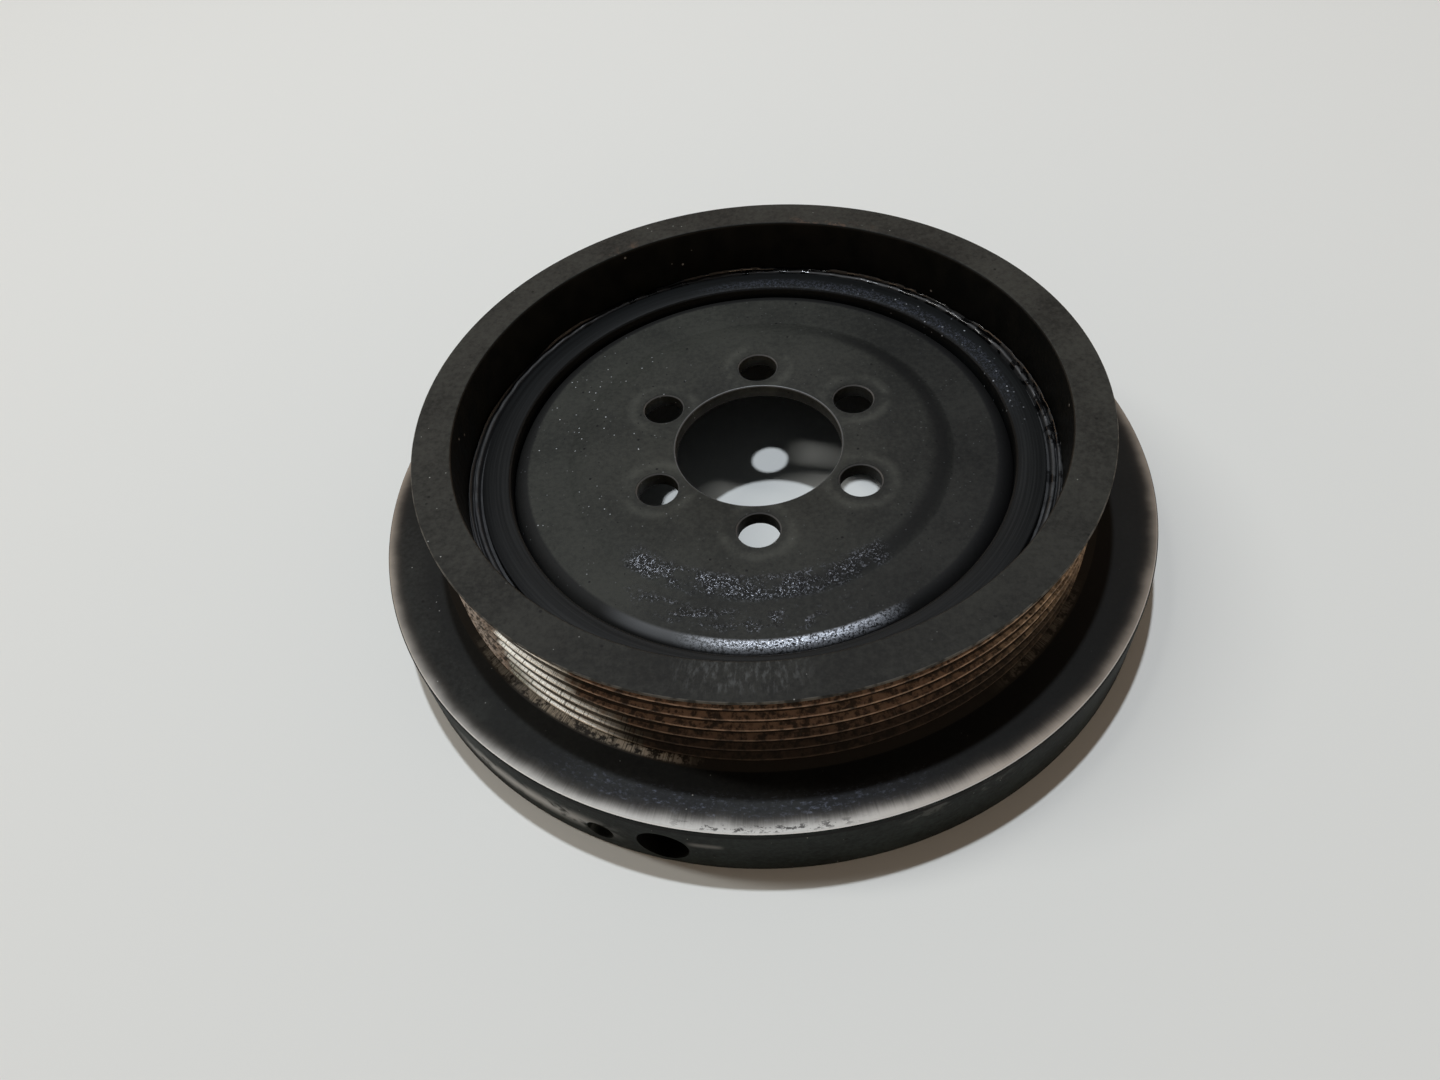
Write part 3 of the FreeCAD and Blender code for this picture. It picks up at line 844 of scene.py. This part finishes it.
for face in ring_mesh.faces:
    middle = face.calc_center_median() / MM
    face.material_index = wall_region(math.hypot(middle.x, middle.y), middle.z)
pulley_ring = finished(ring_mesh, "pulley_ring_turned", rim_paint(), wall_black(),
                       worn_track(), ring_paint(), edge_paint())


def drill(radius, depth, height, angle, finish):
    """A drill with a point, set to bore inwards from the ring's outer wall."""
    point = radius / math.tan(math.radians(POINT_ANGLE / 2))
    corners = [(0, -depth - point), (radius, -depth), (radius, DRILL_CLEAR), (0, DRILL_CLEAR)]
    place = (Matrix.Rotation(math.radians(angle), 4, "Z")
             @ Matrix.Translation((RING_RADIUS * MM, 0, height * MM))
             @ Matrix.Rotation(math.pi / 2, 4, "Y"))
    return tool(corners, [place], finish)


deep_drill = drill(radius=5.0, depth=12.0, height=6.5, angle=-103.0, finish=WALL)
drilled(pulley_ring, deep_drill, DRILLED_SHARP_ANGLE)
spot_drill = drill(radius=2.75, depth=1.5, height=5.3, angle=-111.6, finish=EDGE)
drilled(pulley_ring, spot_drill, DRILLED_SHARP_ANGLE)
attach(pulley_ring, "root")
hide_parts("pulley_ring")

# The table, the lamps and the camera. The table is plain and pale. A small lamp hangs
# almost overhead, a little behind the part, and a long dim warm one hangs on the left.
# The room is bright and warm at the horizon, and dark overhead.
TABLE_HALF = 3.0
HORIZON_COLOUR = (2.40, 1.74, 1.20, 1.0)
ZENITH_COLOUR = (0.048, 0.050, 0.052, 1.0)
HORIZON_REACH = 0.45
LENS = 25.35
SENSOR = 36.0
CAMERA_PLACE = (8.68, -155.27, 181.73)
CAMERA_HEADING = 0.12715
CAMERA_TILT = 0.6938
CAMERA_ROLL = -0.1405

table_mesh = bmesh.new()
bmesh.ops.create_grid(table_mesh, x_segments=1, y_segments=1, size=TABLE_HALF)
table_top = Finish("table_top", roughness=0.75, shine=0.2)
table_top.shader.inputs["Base Color"].default_value = rgb(224, 226, 223)
table = finished(table_mesh, "table", table_top)


def lamp(name, towards, distance, size, power, colour, length=None):
    """An area lamp that shines at the part from a direction."""
    light = bpy.data.lights.new(name, "AREA")
    light.shape = "RECTANGLE" if length else "DISK"
    light.size = size
    light.size_y = length or size
    light.energy = power
    light.color = colour
    holder = bpy.data.objects.new(name, light)
    aim = Vector(towards).normalized()
    holder.location = aim * distance
    holder.rotation_mode = "QUATERNION"
    holder.rotation_quaternion = aim.to_track_quat("Z", "Y")
    bpy.context.scene.collection.objects.link(holder)


lamp("lamp_overhead", towards=(-0.060, 0.212, 1.0), distance=1.6, size=0.07, power=15.1,
     colour=(0.88, 0.93, 1.0))
lamp("lamp_left", towards=(-0.64, 0.20, 1.0), distance=2.5, size=0.17, power=14.8,
     colour=(1.0, 0.99, 0.95), length=1.25)

world = bpy.data.worlds.new("room")
world.use_nodes = True
room = world.node_tree
height = room.nodes.new("ShaderNodeSeparateXYZ")
rise = room.nodes.new("ShaderNodeMapRange")
walls = room.nodes.new("ShaderNodeMix")
walls.data_type = "RGBA"
room.links.new(room.nodes.new("ShaderNodeTexCoord").outputs["Generated"], height.inputs[0])
room.links.new(height.outputs["Z"], rise.inputs["Value"])
room.links.new(rise.outputs[0], walls.inputs[0])
rise.inputs["From Max"].default_value = HORIZON_REACH
walls.inputs[6].default_value = HORIZON_COLOUR
walls.inputs[7].default_value = ZENITH_COLOUR
room.links.new(walls.outputs[2], room.nodes["Background"].inputs["Color"])
bpy.context.scene.world = world
bpy.context.scene.view_settings.view_transform = "Standard"

view = bpy.data.cameras.new("camera")
view.lens = LENS
view.sensor_width = SENSOR
view.clip_start, view.clip_end = 0.01, 20.0
camera = bpy.data.objects.new("camera", view)
camera.location = Vector(CAMERA_PLACE) * MM
camera.rotation_mode = "QUATERNION"
camera.rotation_quaternion = (Matrix.Rotation(CAMERA_HEADING, 3, "Z")
                              @ Matrix.Rotation(CAMERA_TILT, 3, "X")
                              @ Matrix.Rotation(CAMERA_ROLL, 3, "Z")).to_quaternion()
bpy.context.scene.collection.objects.link(camera)
bpy.context.scene.camera = camera
